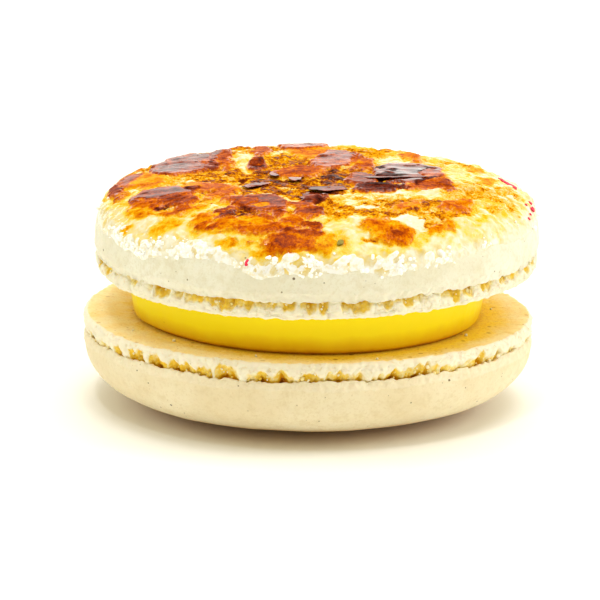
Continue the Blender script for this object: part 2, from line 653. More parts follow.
bottom_crumb = torn_crumb("bottom_crumb", display(247, 238, 212), display(254, 240, 196))
points, triangles = foot_body(bottom)
make_piece(
    "bottom_foot", bottom.settle(points[:, :3]), triangles, bottom_crumb,
    "baked_shell", "bottom_shell", hollow=points[:, 3], flat_side=points[:, 4],
)


# Crumbs of the bottom shell. Bits broken from the foot when the shells were pulled off the mat, caught
# in the crack and left on the flat side.
def bits(centres, sizes, seed):
    """A small cube with cut edges at each centre, its half length given, stretched and turned at
    random, as points and triangles."""
    sides = np.array(list(np.ndindex(3, 3, 3))) - 1.0
    corners = np.array([side for side in sides if np.abs(side).sum() == 3])
    block = np.concatenate([corners * np.where(np.arange(3) == axis, 1, 0.62) for axis in range(3)])
    hull = bmesh.new()
    for corner in block:
        hull.verts.new(corner)
    bmesh.ops.convex_hull(hull, input=hull.verts)
    bmesh.ops.triangulate(hull, faces=hull.faces)
    bmesh.ops.recalc_face_normals(hull, faces=hull.faces)
    hull.verts.index_update()
    block = np.array([vertex.co for vertex in hull.verts])
    faces = np.array([[vertex.index for vertex in face.verts] for face in hull.faces])
    hull.free()

    chance = np.random.default_rng(seed)
    turn = chance.normal(size=(len(centres), 4))
    w, x, y, z = (turn / np.linalg.norm(turn, axis=1, keepdims=True)).T
    turns = np.array([
        [1 - 2 * (y * y + z * z), 2 * (x * y - w * z), 2 * (x * z + w * y)],
        [2 * (x * y + w * z), 1 - 2 * (x * x + z * z), 2 * (y * z - w * x)],
        [2 * (x * z - w * y), 2 * (y * z + w * x), 1 - 2 * (x * x + y * y)],
    ]).transpose(2, 0, 1)
    stretch = chance.uniform(0.6, 1.3, (len(centres), 1, 3)) * sizes[:, None, None]
    points = np.einsum("nij,nkj->nki", turns, block * stretch) + centres[:, None]
    triangles = faces + len(block) * np.arange(len(centres))[:, None, None]
    return points.reshape(-1, 3), triangles.reshape(-1, 3)


def crack_crumbs(shell, count):
    """Crumbs along a shell's crack, from its mouth to a little inside, in the shell's own frame."""
    chance = np.random.default_rng(shell.seed + 50)
    angle = chance.uniform(0, 2 * np.pi, count)
    inside = 0.05 + 0.6 * chance.uniform(0, 1, count) ** 2
    level = shell.foot_top + chance.uniform(-0.5, 0.35, count)
    centres = turned(shell.foot_radius * shell.out_of_round(angle) - inside, level, angle)
    return centres, 0.06 + 0.12 * chance.uniform(0, 1, count) ** 2, inside


FACE_CRUMBS = [  # place in plan and half length, on the flat side
    (-12.9, -14.2, 0.13), (16.1, -9.8, 0.16), (-4.7, -19.3, 0.12), (7.0, -19.4, 0.12),
    (-17.2, -10.6, 0.12), (13.4, 15.0, 0.15), (-9.0, 17.9, 0.13), (19.3, 1.2, 0.1), (1.9, 20.2, 0.12),
]
centres, sizes, inside = crack_crumbs(bottom, 190)
fallen = np.array(FACE_CRUMBS)
centres = np.concatenate([bottom.settle(centres), fallen * [1, 1, 0] + [0, 0, BOTTOM_HEIGHT + 0.06]])
sizes = np.concatenate([sizes, fallen[:, 2]])
inside = np.concatenate([inside, 0 * fallen[:, 2]])
points, triangles = bits(centres, sizes, 110)
make_piece(
    "bottom_crumbs", points, triangles, bottom_crumb, "baked_shell", "bottom_shell",
    hollow=np.repeat(0.7 * inside, len(points) // len(inside)),
)


# Filling. Smooth yellow buttercream, piped in a round and pressed flat by the upper shell, so that
# its side bulges out towards the top and stands sharply off the bottom shell.
CREAM_RADIUS = 17.75  # where it stands on the bottom shell
CREAM_FLARE = 0.95  # by which it is wider under the top shell
CREAM_CORNERS = [(-157, 0.5, 7), (-31, 0.45, 8), (82, 0.3, 9)]  # degrees round, by how much, how wide
TOP_SHIFT = 0.75
TOP_LEAN = np.radians(1.5)
TOP_SIDE_TILT = np.radians(0.9)
CREAM_HEIGHT = 5.1  # in the middle of the cream, with the gaps to both shells
TOP_BASE = BOTTOM_HEIGHT + CREAM_HEIGHT


def cream_disc():
    """The cream's side in section: out from its foot with a round shoulder, then nearly straight to
    a soft corner at the top, with slow swells round it and soft upright corners where it was piped.
    The top follows the tilted shell."""
    count = 640
    angle = around(count)
    rise = np.concatenate([np.linspace(0, 0.12, 8), np.linspace(0.14, 0.86, 34), np.linspace(0.88, 1, 10)])
    rise = rise[:, None]
    circle = turned(CREAM_RADIUS, 0, angle)
    flare = 0.2 + 0.8 * rise**1.15
    round_foot = -0.5 * (1 - ease(0, 0.12, rise)) ** 2
    round_top = -0.35 * ease(0.9, 1.0, rise) ** 2
    swell = 0.2 * grain(circle, 11.0, 300) + 0.1 * grain(circle, 4.0, 301)
    for degrees, reach, half_width in CREAM_CORNERS:
        away = np.abs(turn_from(degrees, np.degrees(angle))) / half_width
        swell = swell + reach * (np.exp(-away) - 0.25 * np.exp(-((away - 2.2) ** 2)))
    radius = CREAM_RADIUS + CREAM_FLARE * flare + round_foot + round_top + swell * (0.25 + 0.75 * rise)
    x = radius * np.cos(angle) + CREAM_CENTRE[0]
    y = radius * np.sin(angle) + CREAM_CENTRE[1]
    ceiling = TOP_BASE + (x - TOP_SHIFT) * np.tan(TOP_SIDE_TILT) + y * np.tan(TOP_LEAN)
    level = BOTTOM_HEIGHT + (ceiling - BOTTOM_HEIGHT) * rise
    side = np.stack([x, y, level], axis=-1)
    dents = 0.05 * grain(side, 2.5, 302) + 0.02 * grain(side, 0.8, 303)
    side += turned(dents, 0, angle)
    side = np.concatenate([side, np.broadcast_to(rise, side.shape[:2])[..., None]], axis=-1)

    def inner_ring(edge, number, share):
        ring = edge[:: count // number].copy()[None]
        ring[..., :2] *= share
        return ring

    smaller = ((count // 4, 0.5), (count // 2, 0.8))
    under = [inner_ring(side[0], *size) for size in smaller]
    over = [inner_ring(side[-1], *size) for size in reversed(smaller)]
    return ring_stack([*under, side, *over])


cream_finish, place = new_finish("yellow_buttercream")
rise = place.mark("rise")
shade = rise + 0.2 * (place.noise(2.5, 3.0) - 0.5)
colour = shade.ramp(
    (0.0, display(206, 136, 0)), (0.14, display(230, 184, 0)), (0.42, display(248, 224, 0)),
    (1.0, display(252, 234, 0)),
)
colour = (place.specks(2.4, 0.12, 0.25) * 0.7).mix(colour, display(128, 84, 4))
finish_surface(
    place, 0.012 * place.noise(0.3, 3.0, 0.6) + 0.03 * place.noise(1.2, 2.0), Base_Color=colour,
    Roughness=0.45, Specular_IOR_Level=0.15, Subsurface_Weight=0.25,
    Subsurface_Radius=(1.0, 0.7, 0.02), Subsurface_Scale=1.0 * MM,
)
points, triangles = cream_disc()
make_piece("cream_filling", points[:, :3], triangles, cream_finish, "yellow_cream", "filling",
           rise=points[:, 3])


# Top shell. Its foot and skin are made as the bottom shell's are; it lies with its flat side down on
# the cream, a little to one side and tilted towards the front.
def top_place(points):
    """The top shell leans to the front about X, its right side is raised about Y, and it is moved
    onto the cream."""
    lean = np.array(Matrix.Rotation(TOP_LEAN, 3, "X"))
    tilt = np.array(Matrix.Rotation(-TOP_SIDE_TILT, 3, "Y"))
    return points @ (tilt @ lean).T + [TOP_SHIFT, 0, TOP_BASE]


TOP_HEIGHT = 8.55
top = Shell(
    rim_radius=22.7, rim_height=2.9, height=TOP_HEIGHT, flat_radius=7.2, fullness=3.2,
    foot_radius=22.5, foot_top=1.35, lip_height=1.75, waves=[(2, 0.0024, 11), (3, 0.0129, 0)],
    cavities=[
        (-156, 0.7, 0.7, 0.4), (-150, 0.5, 0.5, 0.4), (-131, 0.8, 0.7, 0.6), (-123, 1.6, 0.8, 0.6),
        (-119.5, 0.6, 0.8, 0.6), (-112, 1.4, 1.1, 0.7), (-105.5, 0.6, 1.0, 0.5), (-100.5, 1.0, 0.8, 0.8),
        (-96, 0.5, 0.7, 0.6), (-90, 0.45, 0.8, 0.7), (-86.5, 0.6, 0.8, 0.4), (-81, 0.55, 0.8, 0.6),
        (-78.5, 0.6, 0.9, 0.5), (-70.5, 0.9, 0.9, 0.7), (-65, 1.0, 0.7, 0.5), (-50, 1.2, 1.0, 0.6),
        (-46, 0.5, 0.9, 0.6), (-40.5, 1.0, 0.7, 0.6), (-29, 0.6, 0.8, 0.5), (-20, 0.6, 0.6, 0.4),
    ],
    seed=200, settle=top_place,
)
top_crumb = torn_crumb("top_crumb", display(244, 236, 210), display(240, 212, 146))
points, triangles = foot_body(top)
make_piece(
    "top_foot", top.settle(points[:, :3]), triangles, top_crumb,
    "baked_shell", "top_shell", hollow=points[:, 3], flat_side=points[:, 4],
)
points, triangles = skin_cap(top)
make_piece(
    "top_skin", top.settle(points[:, :3]), triangles,
    baked_skin("top_skin", display(235, 229, 204), display(241, 237, 217), display(222, 212, 178)),
    "baked_shell", "top_shell", torn=points[:, 3],
)
centres, sizes, inside = crack_crumbs(top, 190)
points, triangles = bits(top.settle(centres), sizes, 210)
make_piece(
    "top_crumbs", points, triangles, top_crumb, "baked_shell", "top_shell",
    hollow=np.repeat(0.7 * inside, len(points) // len(inside)),
)


# Sugar crust. Coarse sugar strewn over the dome and melted with a torch: a glassy sheet of caramel,
# pale where it just melted, amber to black where the flame stayed. It is laid out with the dome's arc
# length from its pole, X to the right and Y to the back. A pool is (x, y, half length, half width,
# turn in degrees, heat from 0 to 1, gloss from 0 to 1), and a later one lies on top.
POOLS = [
    (-20.4, -0.6, 4.0, 1.0, -78, 0.72, 0.1), (-18.6, 1.7, 3.6, 2.0, -68, 0.66, 0.35),
    (-17.1, 0.0, 4.0, 1.6, 89, 0.43, 0.06), (-21.8, -1.4, 3.0, 0.5, -80, 0.3, 0.06),
    (-20.2, -6.0, 1.3, 0.6, -65, 0.25, 0.06), (-13.4, 6.7, 6.0, 3.6, 81, 0.8, 0.6),
    (-10.1, 9.7, 5.4, 1.4, 83, 0.74, 0.5), (-9.4, 8.2, 5.2, 0.9, 89, 0.62, 0.06),
    (-15.3, -6.6, 3.3, 2.5, 19, 0.79, 0.5), (-16.6, -9.4, 2.2, 1.3, -43, 0.62, 0.08),
    (-13.5, -8.9, 2.4, 1.6, 6, 0.73, 0.12), (-16.8, -10.8, 1.9, 0.8, -40, 0.44, 0.08),
    (-14.3, -12.2, 1.0, 0.9, -29, 0.42, 0.06), (-12.9, -11.8, 1.4, 1.0, 63, 0.6, 0.06),
    (-11.3, -11.5, 1.5, 1.0, 59, 0.4, 0.06), (-14.1, -14.9, 1.9, 1.3, 9, 0.37, 0.08),
    (-14.3, -15.0, 0.8, 0.6, -60, 0.4, 0.08), (-18.7, -12.4, 1.1, 0.7, -31, 0.33, 0.08),
    (-8.3, -19.8, 1.3, 0.8, -12, 0.36, 0.08), (-7.7, -19.8, 0.7, 0.5, -30, 0.47, 0.08),
    (-8.4, -21.0, 1.1, 0.4, -17, 0.18, 0.08), (-13.2, -17.1, 0.6, 0.4, -43, 0.2, 0.08),
    (-10.9, -18.3, 0.6, 0.4, -36, 0.22, 0.08),

    (-10.9, -4.6, 3.0, 2.0, -16, 0.56, 0.12), (-12.2, -5.4, 1.0, 0.7, 16, 0.82, 0.12),
    (-9.0, -7.3, 2.6, 1.1, 49, 0.56, 0.1), (-7.9, -9.3, 1.3, 0.8, 55, 0.62, 0.1),
    (-8.4, -12.9, 1.5, 0.8, 35, 0.66, 0.12), (-8.6, -14.4, 1.2, 0.5, 35, 0.84, 0.08),
    (-10.5, -15.2, 1.9, 1.1, 79, 0.5, 0.08), (-10.4, -16.5, 0.8, 0.5, -26, 0.66, 0.08),
    (-8.4, -16.9, 1.9, 1.5, 31, 0.52, 0.08), (-9.3, -17.5, 1.0, 0.6, -18, 0.62, 0.08),
    (-5.2, -17.2, 2.7, 1.4, -20, 0.47, 0.08),

    (-4.9, -11.4, 3.3, 2.5, -64, 0.78, 0.25), (-6.8, -10.8, 1.7, 1.4, -77, 0.72, 0.12),
    (-3.4, -14.7, 1.3, 0.7, 60, 0.74, 0.08), (-4.8, -15.7, 1.3, 0.6, -17, 0.68, 0.08),
    (-4.2, -18.3, 3.4, 1.1, -6, 0.54, 0.08), (-1.6, -20.6, 4.1, 1.4, -4, 0.6, 0.08),
    (-3.8, -21.2, 1.2, 1.0, -21, 0.6, 0.08),
    (1.2, -21.1, 1.3, 1.2, -65, 0.44, 0.08), (-1.1, -19.6, 2.4, 0.7, 6, 0.73, 0.08),
    (-3.1, -20.5, 1.7, 0.9, 8, 0.65, 0.08), (-5.2, -21.5, 0.9, 0.5, -14, 0.34, 0.08),
    (-2.0, -16.8, 1.9, 1.3, 69, 0.5, 0.08), (-0.1, -18.0, 1.1, 0.9, -58, 0.7, 0.08),
    (-0.5, -14.5, 1.9, 1.3, -88, 0.7, 0.08), (-1.4, -11.8, 1.6, 1.0, -20, 0.62, 0.12),
    (-0.1, -9.8, 1.8, 0.9, 40, 0.86, 0.06), (-1.4, 2.2, 3.4, 2.1, 45, 0.68, 0.06),
    (-6.0, 5.8, 3.4, 0.8, -89, 0.8, 0.06), (-0.4, 13.0, 4.4, 2.8, -82, 0.46, 0.06),
    (2.0, 8.3, 4.6, 2.1, 81, 0.74, 0.6), (4.4, 7.2, 3.4, 0.7, 87, 0.66, 0.06),
    (5.4, 6.0, 3.0, 0.9, 88, 0.62, 0.06), (-1.4, 16.2, 3.0, 2.6, 83, 0.72, 0.6),
    (-5.9, 13.4, 3.4, 1.0, -87, 0.62, 0.12),

    (9.9, 1.6, 4.6, 3.8, -75, 0.86, 0.95), (12.2, 0.6, 3.2, 1.6, -80, 0.7, 0.5),
    (4.8, -1.1, 2.8, 1.5, -83, 0.76, 0.4),
    (6.6, -4.6, 2.9, 1.6, 22, 0.9, 0.1), (11.5, -3.6, 3.0, 1.5, 36, 0.6, 0.06),
    (13.4, -2.4, 2.6, 0.8, 87, 0.68, 0.06), (14.7, 3.0, 4.4, 1.7, -88, 0.24, 0.6),
    (17.6, 0.8, 2.8, 1.0, 82, 0.36, 0.06), (17.0, 6.6, 3.2, 0.8, 81, 0.42, 0.06),
    (14.2, -9.7, 2.6, 1.3, 51, 0.55, 0.06), (9.1, -11.4, 2.3, 1.0, 57, 0.46, 0.1),
    (13.5, -14.8, 1.1, 0.8, 87, 0.52, 0.08), (11.7, -16.6, 1.8, 0.6, 42, 0.46, 0.08),
    (7.4, -18.1, 2.7, 2.0, -19, 0.57, 0.08), (6.2, -17.1, 2.0, 1.5, 71, 0.54, 0.08),
    (8.4, -18.7, 1.7, 1.0, 29, 0.62, 0.08), (7.4, -20.7, 1.5, 0.35, 16, 0.22, 0.08),
    (16.5, -11.8, 1.5, 0.8, 55, 0.28, 0.06), (19.1, -9.2, 0.7, 0.5, 72, 0.27, 0.1),
    (15.1, -13.8, 0.5, 0.3, 49, 0.25, 0.08), (17.6, -6.9, 1.2, 0.7, 10, 0.3, 0.1),
    (16.3, -13.3, 0.7, 0.5, 68, 0.25, 0.08), (9.9, 12.2, 3.4, 1.0, -87, 0.48, 0.06),
    (10.7, 9.4, 3.4, 0.5, 86, 0.5, 0.06), (8.5, 12.7, 3.2, 0.6, 88, 0.3, 0.06),
    (12.4, 10.0, 3.6, 0.6, 84, 0.28, 0.06), (4.6, -20.9, 0.5, 0.4, 18, 0.24, 0.08),
    (2.4, -22.5, 0.5, 0.3, 7, 0.26, 0.08), (-1.7, -21.9, 0.5, 0.35, -5, 0.26, 0.08),

    (0.0, 21.0, 4.5, 1.2, 0, 0.55, 0.06), (-9.6, 19.2, 3.2, 1.2, -24, 0.62, 0.06),
    (-15.2, 15.4, 3.6, 1.3, -42, 0.58, 0.06), (16.4, 13.8, 2.6, 1.0, 48, 0.42, 0.06),
    (9.4, 19.0, 3.0, 1.2, 26, 0.5, 0.06), (-19.5, 8.5, 2.6, 1.0, 68, 0.5, 0.06),
    (4.5, 17.2, 2.0, 1.6, 0, 0.36, 0.06),
]
GROUND = [  # grainy scorched sugar between the pools, laid out as they are, up to the heat
    (-10.7, 0.6, 6.0, 3.7, 86, 0.38), (-1.3, -1.5, 7.5, 5.8, 90, 0.52), (-2.9, 6.7, 4.1, 3.1, -79, 0.44),
    (1.2, 0.4, 4.9, 2.8, 90, 0.6), (5.4, 3.4, 4.0, 2.2, 88, 0.4), (1.2, -12.3, 3.8, 1.9, -80, 0.35),
    (8.7, -11.5, 6.2, 3.0, 16, 0.38),
    (11.6, -14.0, 3.5, 2.2, 70, 0.39), (6.1, -17.1, 2.8, 1.8, 81, 0.48), (-6.0, -14.4, 4.9, 2.7, -11, 0.44),
    (-8.9, -4.6, 4.2, 3.2, -74, 0.46), (-13.0, -10.7, 3.0, 2.4, 13, 0.38), (4.0, 13.5, 5.1, 4.4, -84, 0.3),
    (15.8, -2.8, 6.0, 2.9, 71, 0.22), (18.8, -3.8, 5.8, 2.2, 80, 0.22), (-16.5, 2.8, 5.0, 2.1, -86, 0.3),
    (-8.0, 16.0, 6.0, 4.0, 0, 0.38), (7.0, 16.0, 6.0, 3.4, 0, 0.32), (-17.0, 10.5, 3.5, 4.6, 0, 0.34),
    (5.6, -8.6, 4.4, 1.4, 8, 0.2), (13.4, 7.5, 4.0, 3.4, -70, 0.22), (-14.2, -1.6, 3.0, 1.4, 20, 0.24),
]
CHARRED = [  # spots that are nearly black and dull, up to the heat
    (-14.8, -10.5, 0.7, 0.35, 39, 0.9), (-10.6, 5.9, 2.4, 0.3, 89, 0.8),
    (-10.4, -7.4, 0.6, 0.35, -12, 0.84), (-6.9, -12.9, 1.2, 0.3, -55, 0.84),
    (-1.0, -7.9, 1.3, 0.5, -20, 0.88),
    (0.9, -7.0, 1.8, 0.6, 5, 0.88), (-3.0, -1.6, 1.3, 0.45, 1, 0.86), (-5.6, -4.3, 2.0, 0.5, 49, 0.86),
    (0.4, -10.1, 1.2, 0.45, 60, 0.88), (7.1, -0.1, 1.5, 0.7, 78, 0.94), (7.1, 3.5, 0.6, 0.4, 87, 1.0),
    (8.1, 2.3, 0.5, 0.4, 84, 0.94), (6.8, -5.0, 2.2, 0.6, 3, 0.88), (8.7, -4.0, 1.6, 0.4, -64, 0.88),
    (11.3, -1.9, 1.9, 0.6, 51, 0.88), (-7.5, -1.5, 1.7, 0.35, -88, 0.82), (-5.1, -12.3, 1.0, 0.7, 0, 0.44),
]
BLISTERS = [  # raised lumps: x, y, radius, height
    (-6.0, 6.2, 1.3, 0.42), (3.9, 19.6, 1.0, 0.35), (-12.4, 15.0, 0.7, 0.22), (9.6, 17.4, 0.7, 0.22),
    (-17.2, 9.6, 0.7, 0.2), (16.9, 11.2, 1.1, 0.3), (13.4, 14.6, 0.8, 0.22), (-2.4, 20.2, 0.8, 0.2),
    (-8.0, 17.4, 0.7, 0.25), (6.2, 14.8, 0.8, 0.2), (-15.0, -3.4, 0.6, 0.2), (2.6, -9.4, 0.6, 0.2),
]
# where the skin shows: x, y, half length, half width, turn in degrees
BARE = [(9.5, -15.6, 1.7, 0.9, -54), (8.4, -14.9, 1.0, 0.7, 45), (5.3, -12.2, 1.0, 0.7, 18)]
BORDER_ARC = 23.9  # from the pole to the edge of the sugar
BORDER_CIRCLE = 22.0  # radius on which the noise of that edge is read
# where the sugar hangs lower: degrees round, by how much, half width in degrees
BORDER_BULGES = [(-103, 0.9, 6), (-92, 0.7, 5), (-70, 0.8, 6), (-137, 0.4, 8), (-81, 0.4, 4)]
# where grains that never melted lie in heaps: degrees round, half width in degrees
SUGAR_HEAPS = [(-148, 4), (-136, 7), (-121, 6), (-103, 8), (-92, 5), (-82, 4), (-70, 6), (-57, 4)]


def inward(x, y, patch):
    """How far inside a patch a place is, in millimetres, negative outside: its half width times one
    minus the distance from the centre in half lengths and half widths."""
    centre_x, centre_y, length, width, degrees = patch[:5]
    angle = np.radians(degrees)
    along = (x - centre_x) * np.cos(angle) + (y - centre_y) * np.sin(angle)
    aside = (y - centre_y) * np.cos(angle) - (x - centre_x) * np.sin(angle)
    return (1 - np.hypot(along / length, aside / width)) * width


def sugar_border(angle):
    """Arc length from the pole to the edge of the sugar: even, with noise and some low bulges."""
    circle = turned(BORDER_CIRCLE, 0, angle)
    arc = (BORDER_ARC + 0.35 * grain(circle, 5.0, 400) + 0.25 * grain(circle, 1.7, 401)
           + 0.16 * grain(circle, 0.6, 402))
    for degrees, reach, half_width in BORDER_BULGES:
        away = turn_from(degrees, np.degrees(angle))
        arc = arc + reach * np.exp(-((away / half_width) ** 2))
    return arc


def sugar_heaps(angle):
    """How thickly unmelted grains lie at the border at an angle, from 0 to 1: noise, and heaps."""
    circle = turned(BORDER_CIRCLE, 0, angle)
    heap = 0.1 + 0.4 * grain(circle, 2.6, 403) + 0.4 * grain(circle, 0.9, 404)
    for degrees, half_width in SUGAR_HEAPS:
        away = turn_from(degrees, np.degrees(angle))
        heap = heap + 0.7 * np.exp(-((away / half_width) ** 2))
    return np.clip(heap, 0, 1)


def crust_ground(flat, x, y, fray, mottle):
    """The crust before its pools: how burnt, its thickness, its gloss and its grit. Pale melted sugar
    lies round patches of scorched ground, which are mottled and broken by ledges."""
    broad, fine, finest = mottle
    burn = 0.1 + 0.05 * grain(flat, 2.8, 435) + 0.05 * broad + 0.06 * fine + 0.04 * finest
    scorched = 0 * burn
    for patch in GROUND:
        *_, heat = patch
        cover = ease(-0.6, 0.6, inward(x, y, patch) + 2.6 * fray + 0.3 * broad)
        scorched = np.maximum(scorched, cover)
        burn = burn + (heat - burn) * cover
    burn = burn + scorched * burn * (0.36 * broad + 0.38 * fine + 0.4 * finest)
    thick = scorched * (0.05 * broad + 0.05 * fine + 0.04 * finest)
    thick = thick + 0.14 * ease(0.25, 0.75, grain(flat, 1.0, 490))
    gloss = 0 * scorched
    for size, rise, seed in ((1.9, 0.09, 470), (0.8, 0.06, 480)):
        level = grain(flat, size, seed) + 0.4 * grain(flat, size / 3, seed + 1) - 0.05
        ledge = ease(-0.05, 0.06, level)
        ledge_foot = np.exp(-(((level + 0.05) / 0.1) ** 2))
        thick = thick + scorched * rise * ledge
        burn = burn + scorched * 0.1 * (ledge - 0.4) + scorched * 0.16 * ledge_foot
        gloss = np.maximum(gloss, 0.25 * scorched * ledge * ease(0.55, 0.7, burn))
    return burn, thick, gloss, scorched


def crust_pools(flat, x, y, fray, mottle, burn, thick, gloss, grit):
    """The same after its pools, which are smooth with wrinkles, the glossy ones with ripples. A dark
    pool has a golden halo and a raised wet edge."""
    broad, fine, finest = mottle
    folds = flat * [0.45, 1, 1] + 0.5 * grain(flat, 4.0, 438)[..., None]
    wrinkle = grain(folds, 1.5, 436)
    ripple = grain(folds * [1, 1.6, 1], 1.5, 437)
    smooth = 0 * burn
    pooled = 0 * burn
    for patch in POOLS:
        half_width, _, heat, shine = patch[3:]
        depth = inward(x, y, patch) + fray
        dark = ease(0.3, 0.55, heat)
        burn = np.maximum(burn, 0.28 * dark * ease(-1.1, 0.1, depth + 0.5 * broad))
        cover = ease(-0.4 + 0.3 * dark, 0.4 - 0.3 * dark, depth)
        level = heat - 0.12 * (1 - ease(0.0, 0.5, depth / half_width))
        wet_edge = 0.95 * dark * ease(0.3, 0.1, depth) * (1 - pooled)
        burn = burn + (level - burn) * cover
        gloss = gloss + (np.maximum(shine, wet_edge) - gloss) * cover
        pooled = np.maximum(pooled, cover)
        grit = grit * (1 - cover)
        smooth = np.maximum(smooth, cover * ease(0.1, 0.4, heat))
        thick = thick * (1 - 0.8 * cover) + cover * (0.1 + 0.2 * heat)
        thick = thick + 0.17 * dark * ease(0, 0.3, depth)
    burn = burn + smooth * (0.05 * broad + 0.06 * fine + 0.05 * finest - 0.1 * wrinkle)
    thick = thick + smooth * (0.045 * wrinkle + 0.03 * broad + 0.008 * fine)
    thick = thick + 0.08 * ripple * ease(0.3, 0.7, gloss) * smooth
    return burn, thick, gloss, grit


def crust_spots(x, y, fray, burn, thick, gloss):
    """The same after its charred spots, which are dark and dull, its blisters and its bare spots."""
    for patch in CHARRED:
        *_, heat = patch
        charred = ease(-0.1, 0.12, inward(x, y, patch) + fray)
        burn = burn + (heat - burn) * charred
        gloss = gloss * (1 - 0.8 * charred)
        thick = thick - 0.05 * charred
    for centre_x, centre_y, radius, height in BLISTERS:
        thick = thick + height * ease(1.0, 0.3, np.hypot(x - centre_x, y - centre_y) / radius)
    for patch in BARE:
        bare = ease(-0.1, 0.15, inward(x, y, patch) + fray)
        burn, thick, gloss = [field * (1 - bare) for field in (burn, thick, gloss)]
    return burn, thick, gloss


def crust_fields(flat, angle, to_border):
    """The crust at places laid out flat, given their distance to its border: its thickness in
    millimetres, and from 0 to 1 how burnt, how glossy, how white with unmelted sugar and how gritty.
    Near the border it fades to pale. There unmelted sugar lies in knobs, and sugar that just melted
    stands in clear drops. Noise bends every outline, and finer noise frays it."""
    x, y = [flat[..., axis] + 0.5 * grain(flat, 2.2, seed) + 0.34 * grain(flat, 0.8, seed + 1)
            for axis, seed in ((0, 410), (1, 420))]
    fray = 0.2 * grain(flat, 0.55, 430) + 0.14 * grain(flat, 0.26, 431)
    broad, fine, finest = [grain(flat, *noise) for noise in ((1.2, 432), (0.5, 433), (0.28, 434))]
    mottle = (broad, fine, finest)
    ground = crust_ground(flat, x, y, fray, mottle)
    burn, thick, gloss, grit = crust_pools(flat, x, y, fray, mottle, *ground)
    burn, thick, gloss = crust_spots(x, y, fray, burn, thick, gloss)

    heaps = sugar_heaps(angle)
    burn = burn * ease(-0.3, 2.2 - 1.2 * heaps, to_border + 0.5 * broad)
    reach = 0.5 + 1.3 * heaps + 0.6 * broad + 0.4 * fine
    sugar = (1 - ease(-0.2, 0.2, to_border - reach)) * ease(0.25, 0.5, heaps)
    sugar = sugar * ease(-0.4, 0.0, fine + 0.7 * grain(flat, 0.9, 442))
    nearest, _, lot = lumps(flat, 0.62, 441)
    closest, _, _ = lumps(flat, 0.36, 443)
    knobs = (0.28 * (0.85 - nearest) + 0.16 * lot + 0.16 * (0.7 - closest) + 0.12 * broad) * sugar
    nearest, _, lot = lumps(flat, 1.5, 450)
    clear = (1 - ease(0.15, 0.3, burn)) * (1 - sugar)
    drops = (0.28 * lot * ease(0.7, 0.15, nearest) + 0.16 * np.abs(broad) + 0.12 * np.abs(fine)) * clear
    gloss = np.maximum(gloss, 0.8 * clear + 0.3 * sugar)
    thickness = 0.1 + 0.03 * broad + thick + knobs + drops
    thickness = thickness * ease(-0.02, 2.2 - 1.7 * heaps, to_border)
    thickness = thickness - 0.12 * (1 - ease(0, 0.12, to_border))
    return thickness, np.clip(burn, 0, 1), np.clip(gloss, 0, 1), np.clip(sugar, 0, 1), grit


CRUST_RING = 832  # points on the crust's outer rings, 0.17 mm apart
CRUST_STEP = 0.16


def on_dome(angle, arc, lift):
    """Points on the upper dome at angles and arc lengths from its pole, lifted along its normal."""
    radius, level, out, up = top.section(top.arc - arc)
    return turned(radius * top.out_of_round(angle) + lift * out, level + lift * up, angle)


def crust_block(count, shares, lift=None):
    """Rings of the crust at shares of the way from the pole to its border: on the dome, lifted along
    its normal by the crust's thickness, or by lift where that is given."""
    angle = around(count)
    border = sugar_border(angle)
    arc = shares[:, None] * border
    thickness, *marks = crust_fields(turned(arc, 0, angle), angle, border - arc)
    place = on_dome(angle, arc, thickness if lift is None else lift)
    return np.concatenate([place, np.stack(marks, axis=-1)], axis=-1)


def sugar_crust():
    """A closed sheet: under its surface, just below the skin's, from the middle out to the border,
    then back over the top to the middle in rings a step apart."""
    blocks = [crust_block(CRUST_RING // 2**k, np.array([share]), lift=-0.15)
              for k, share in ((4, 0.1), (3, 0.3), (2, 0.5), (1, 0.75), (0, 0.97))]
    shares = np.linspace(1, 0, int(BORDER_ARC / CRUST_STEP))[:-1]
    halvings = np.clip(np.floor(np.log2(1 / shares * 0.93)), 0, 4)
    for k in np.unique(halvings):
        blocks.append(crust_block(int(CRUST_RING / 2**k), shares[halvings == k]))
    return ring_stack(blocks)


caramel, place = new_finish("burnt_sugar")
burn = place.mark("burn")
gloss = place.mark("gloss")
sugar = place.mark("sugar")
grit = place.mark("grit")
speckle = place.noise(0.2, 3.0, 0.65)
ripple = place.noise(0.9, 2.0, 0.5, 1.2)
clear = (1 - burn.step(0.16, 0.32)) * (1 - sugar)
heat = (burn + (0.5 + 0.7 * grit) * (speckle - 0.5) * burn.step(0.08, 0.3)
        + (0.5 + 0.1 * grit) * (place.noise(0.6, 3.0, 0.6) - 0.5) * burn.step(0.1, 0.4)
        + 0.16 * (place.noise(0.5, 3.0, 0.65) - 0.5) + 0.16 * clear * (0.5 - ripple))
melted = heat.ramp(
    (0.0, display(238, 232, 208)), (0.1, display(233, 212, 148)), (0.2, display(239, 203, 62)),
    (0.32, display(236, 172, 8)), (0.44, display(222, 136, 0)), (0.56, display(202, 94, 0)),
    (0.68, display(160, 62, 6)), (0.8, display(116, 41, 16)), (0.91, display(74, 22, 12)),
    (1.0, display(34, 8, 7)),
)
scorched = heat.ramp(
    (0.0, display(236, 228, 198)), (0.12, display(234, 206, 124)), (0.28, display(238, 180, 24)),
    (0.42, display(224, 146, 6)), (0.56, display(186, 100, 6)), (0.7, display(138, 60, 8)),
    (0.85, display(92, 34, 10)), (1.0, display(52, 16, 8)),
)
colour = grit.mix(melted, scorched)
charred_dots = place.specks(0.6, 0.13, 0.4) * burn.step(0.2, 0.35)
colour = (charred_dots * (0.35 + 0.45 * grit)).mix(colour, display(104, 50, 4))
colour = (place.specks(2.0, 0.13, 0.4) * (1 - burn.step(0.2, 0.3)) * 0.7).mix(colour, display(96, 66, 30))
